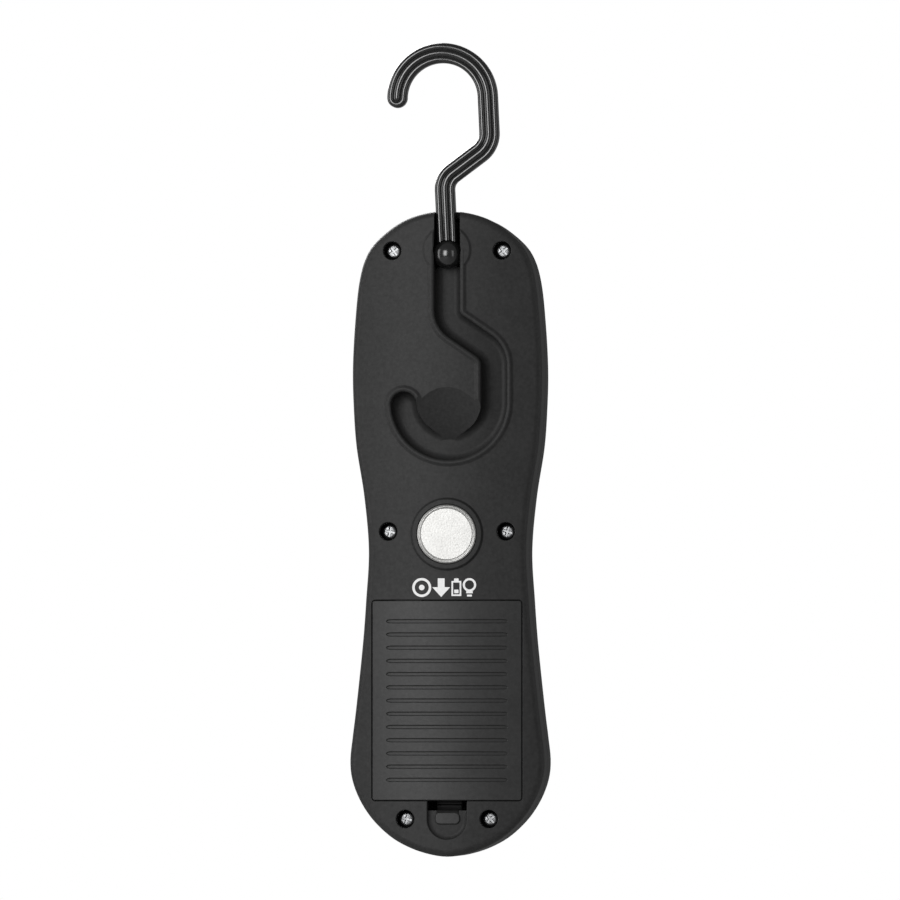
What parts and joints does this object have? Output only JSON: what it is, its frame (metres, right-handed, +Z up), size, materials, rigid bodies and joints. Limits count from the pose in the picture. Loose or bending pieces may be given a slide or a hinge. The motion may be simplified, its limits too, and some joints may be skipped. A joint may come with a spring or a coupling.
{
  "type": "work light",
  "caption": "Hand-held battery work light with a windowed LED front, a magnet, a battery door and a fold-away swivel hook on its back.",
  "frame": {"origin": "centre of the magnet's outer face, the face that holds the light to a steel surface", "axes": "+X to the right as the back is seen, +Z up towards the hook along the body's length, -Y out of the magnet's face, +Y towards the LED window"},
  "size_m": [0.059, 0.031, 0.2483],
  "materials": {
    "housing_black": "fine-grained matt black moulded ABS",
    "door_black": "fine-grained matt black moulded ABS",
    "hook_black": "polished black moulded nylon",
    "magnet_nickel": "bright nickel plating with a satin grain",
    "window_clear": "clear polished polystyrene",
    "reflector_bright": "vacuum-metallised moulding",
    "board_green": "green solder mask over glass-fibre board",
    "led_clear": "clear epoxy with a pale yellow phosphor inside",
    "button_rubber": "soft matt black rubber",
    "switch_plastic": "dark grey moulded nylon",
    "cell_sleeve": null,
    "spring_steel": "nickel-plated spring wire",
    "contact_nickel": "nickel-plated sheet",
    "wire_red": "red PVC insulation",
    "wire_black": "black PVC insulation",
    "screw_zinc": "bright zinc plating"
  },
  "bodies": {
    "housing": {"rear_housing": "housing_black", "front_housing": "housing_black", "magnet": "magnet_nickel", "magnet_retainer": "housing_black", "lens": "window_clear", "reflector": "reflector_bright", "led_board": "board_green", "switch_body": "switch_plastic", "led_01": "led_clear", "led_02": "led_clear", "led_03": "led_clear", "led_04": "led_clear", "led_05": "led_clear", "led_06": "led_clear", "led_07": "led_clear", "led_08": "led_clear", "led_09": "led_clear", "led_10": "led_clear", "led_11": "led_clear", "led_12": "led_clear", "led_13": "led_clear", "led_14": "led_clear", "led_15": "led_clear", "led_16": "led_clear", "led_17": "led_clear", "led_18": "led_clear", "led_19": "led_clear", "led_20": "led_clear", "led_21": "led_clear", "led_22": "led_clear", "led_23": "led_clear", "led_24": "led_clear", "battery_cell_1": "cell_sleeve", "battery_cell_2": "cell_sleeve", "battery_cell_3": "cell_sleeve", "contact_spring_1": "spring_steel", "contact_spring_2": "spring_steel", "contact_spring_3": "spring_steel", "contact_plate_top_single": "contact_nickel", "contact_plate_top_double": "contact_nickel", "contact_plate_bottom_double": "contact_nickel", "contact_plate_bottom_single": "contact_nickel", "wire_positive": "wire_red", "wire_negative": "wire_black", "housing_screw_1": "screw_zinc", "housing_screw_2": "screw_zinc", "housing_screw_3": "screw_zinc", "housing_screw_4": "screw_zinc", "housing_screw_5": "screw_zinc", "housing_screw_6": "screw_zinc", "board_screw_1": "screw_zinc", "board_screw_2": "screw_zinc"},
    "door": {"battery_door": "door_black", "latch_spring": "door_black"},
    "door_latch": {"battery_door_latch": "door_black"},
    "hook_ball": {"hook_ball": "hook_black"},
    "hook": {"hook": "hook_black"},
    "power_button": {"power_button": "button_rubber"},
    "switch_plunger": {"switch_plunger": "switch_plastic"}
  },
  "joints": [
    {"name": "hook_fold", "type": "hinge", "parent": "housing", "child": "hook_ball", "pos_m": [0, 0.0048, 0.08675], "axis": [-0.9997, 0, -0.0227], "range_deg": [-180, 0]},
    {"name": "hook_swivel", "type": "hinge", "parent": "hook_ball", "child": "hook", "pos_m": [0, 0.0048, 0.08675], "axis": [-0.0454, 0, 0.999], "range_deg": [0, 180]},
    {"name": "battery_door_tilt", "type": "hinge", "parent": "housing", "child": "door", "pos_m": [0, 0.0017, -0.0201], "axis": [-1, 0, 0], "range_deg": [0, 55]},
    {"name": "door_latch_press", "type": "hinge", "parent": "door", "child": "door_latch", "pos_m": [0, 0.0114, -0.0826], "axis": [-1, 0, 0], "range_deg": [0, 8], "stiffness_Nm_per_rad": 0.25},
    {"name": "button_press", "type": "slide", "parent": "housing", "child": "power_button", "axis": [0, -1, 0], "range_m": [0, 0.0015], "stiffness_N_per_m": 1500},
    {"name": "plunger_press", "type": "slide", "parent": "housing", "child": "switch_plunger", "axis": [0, -1, 0], "range_m": [0, 0.0015], "stiffness_N_per_m": 300}
  ],
  "couplings": [
    {"joint": "plunger_press", "follows": "button_press", "ratio": 1}
  ]
}
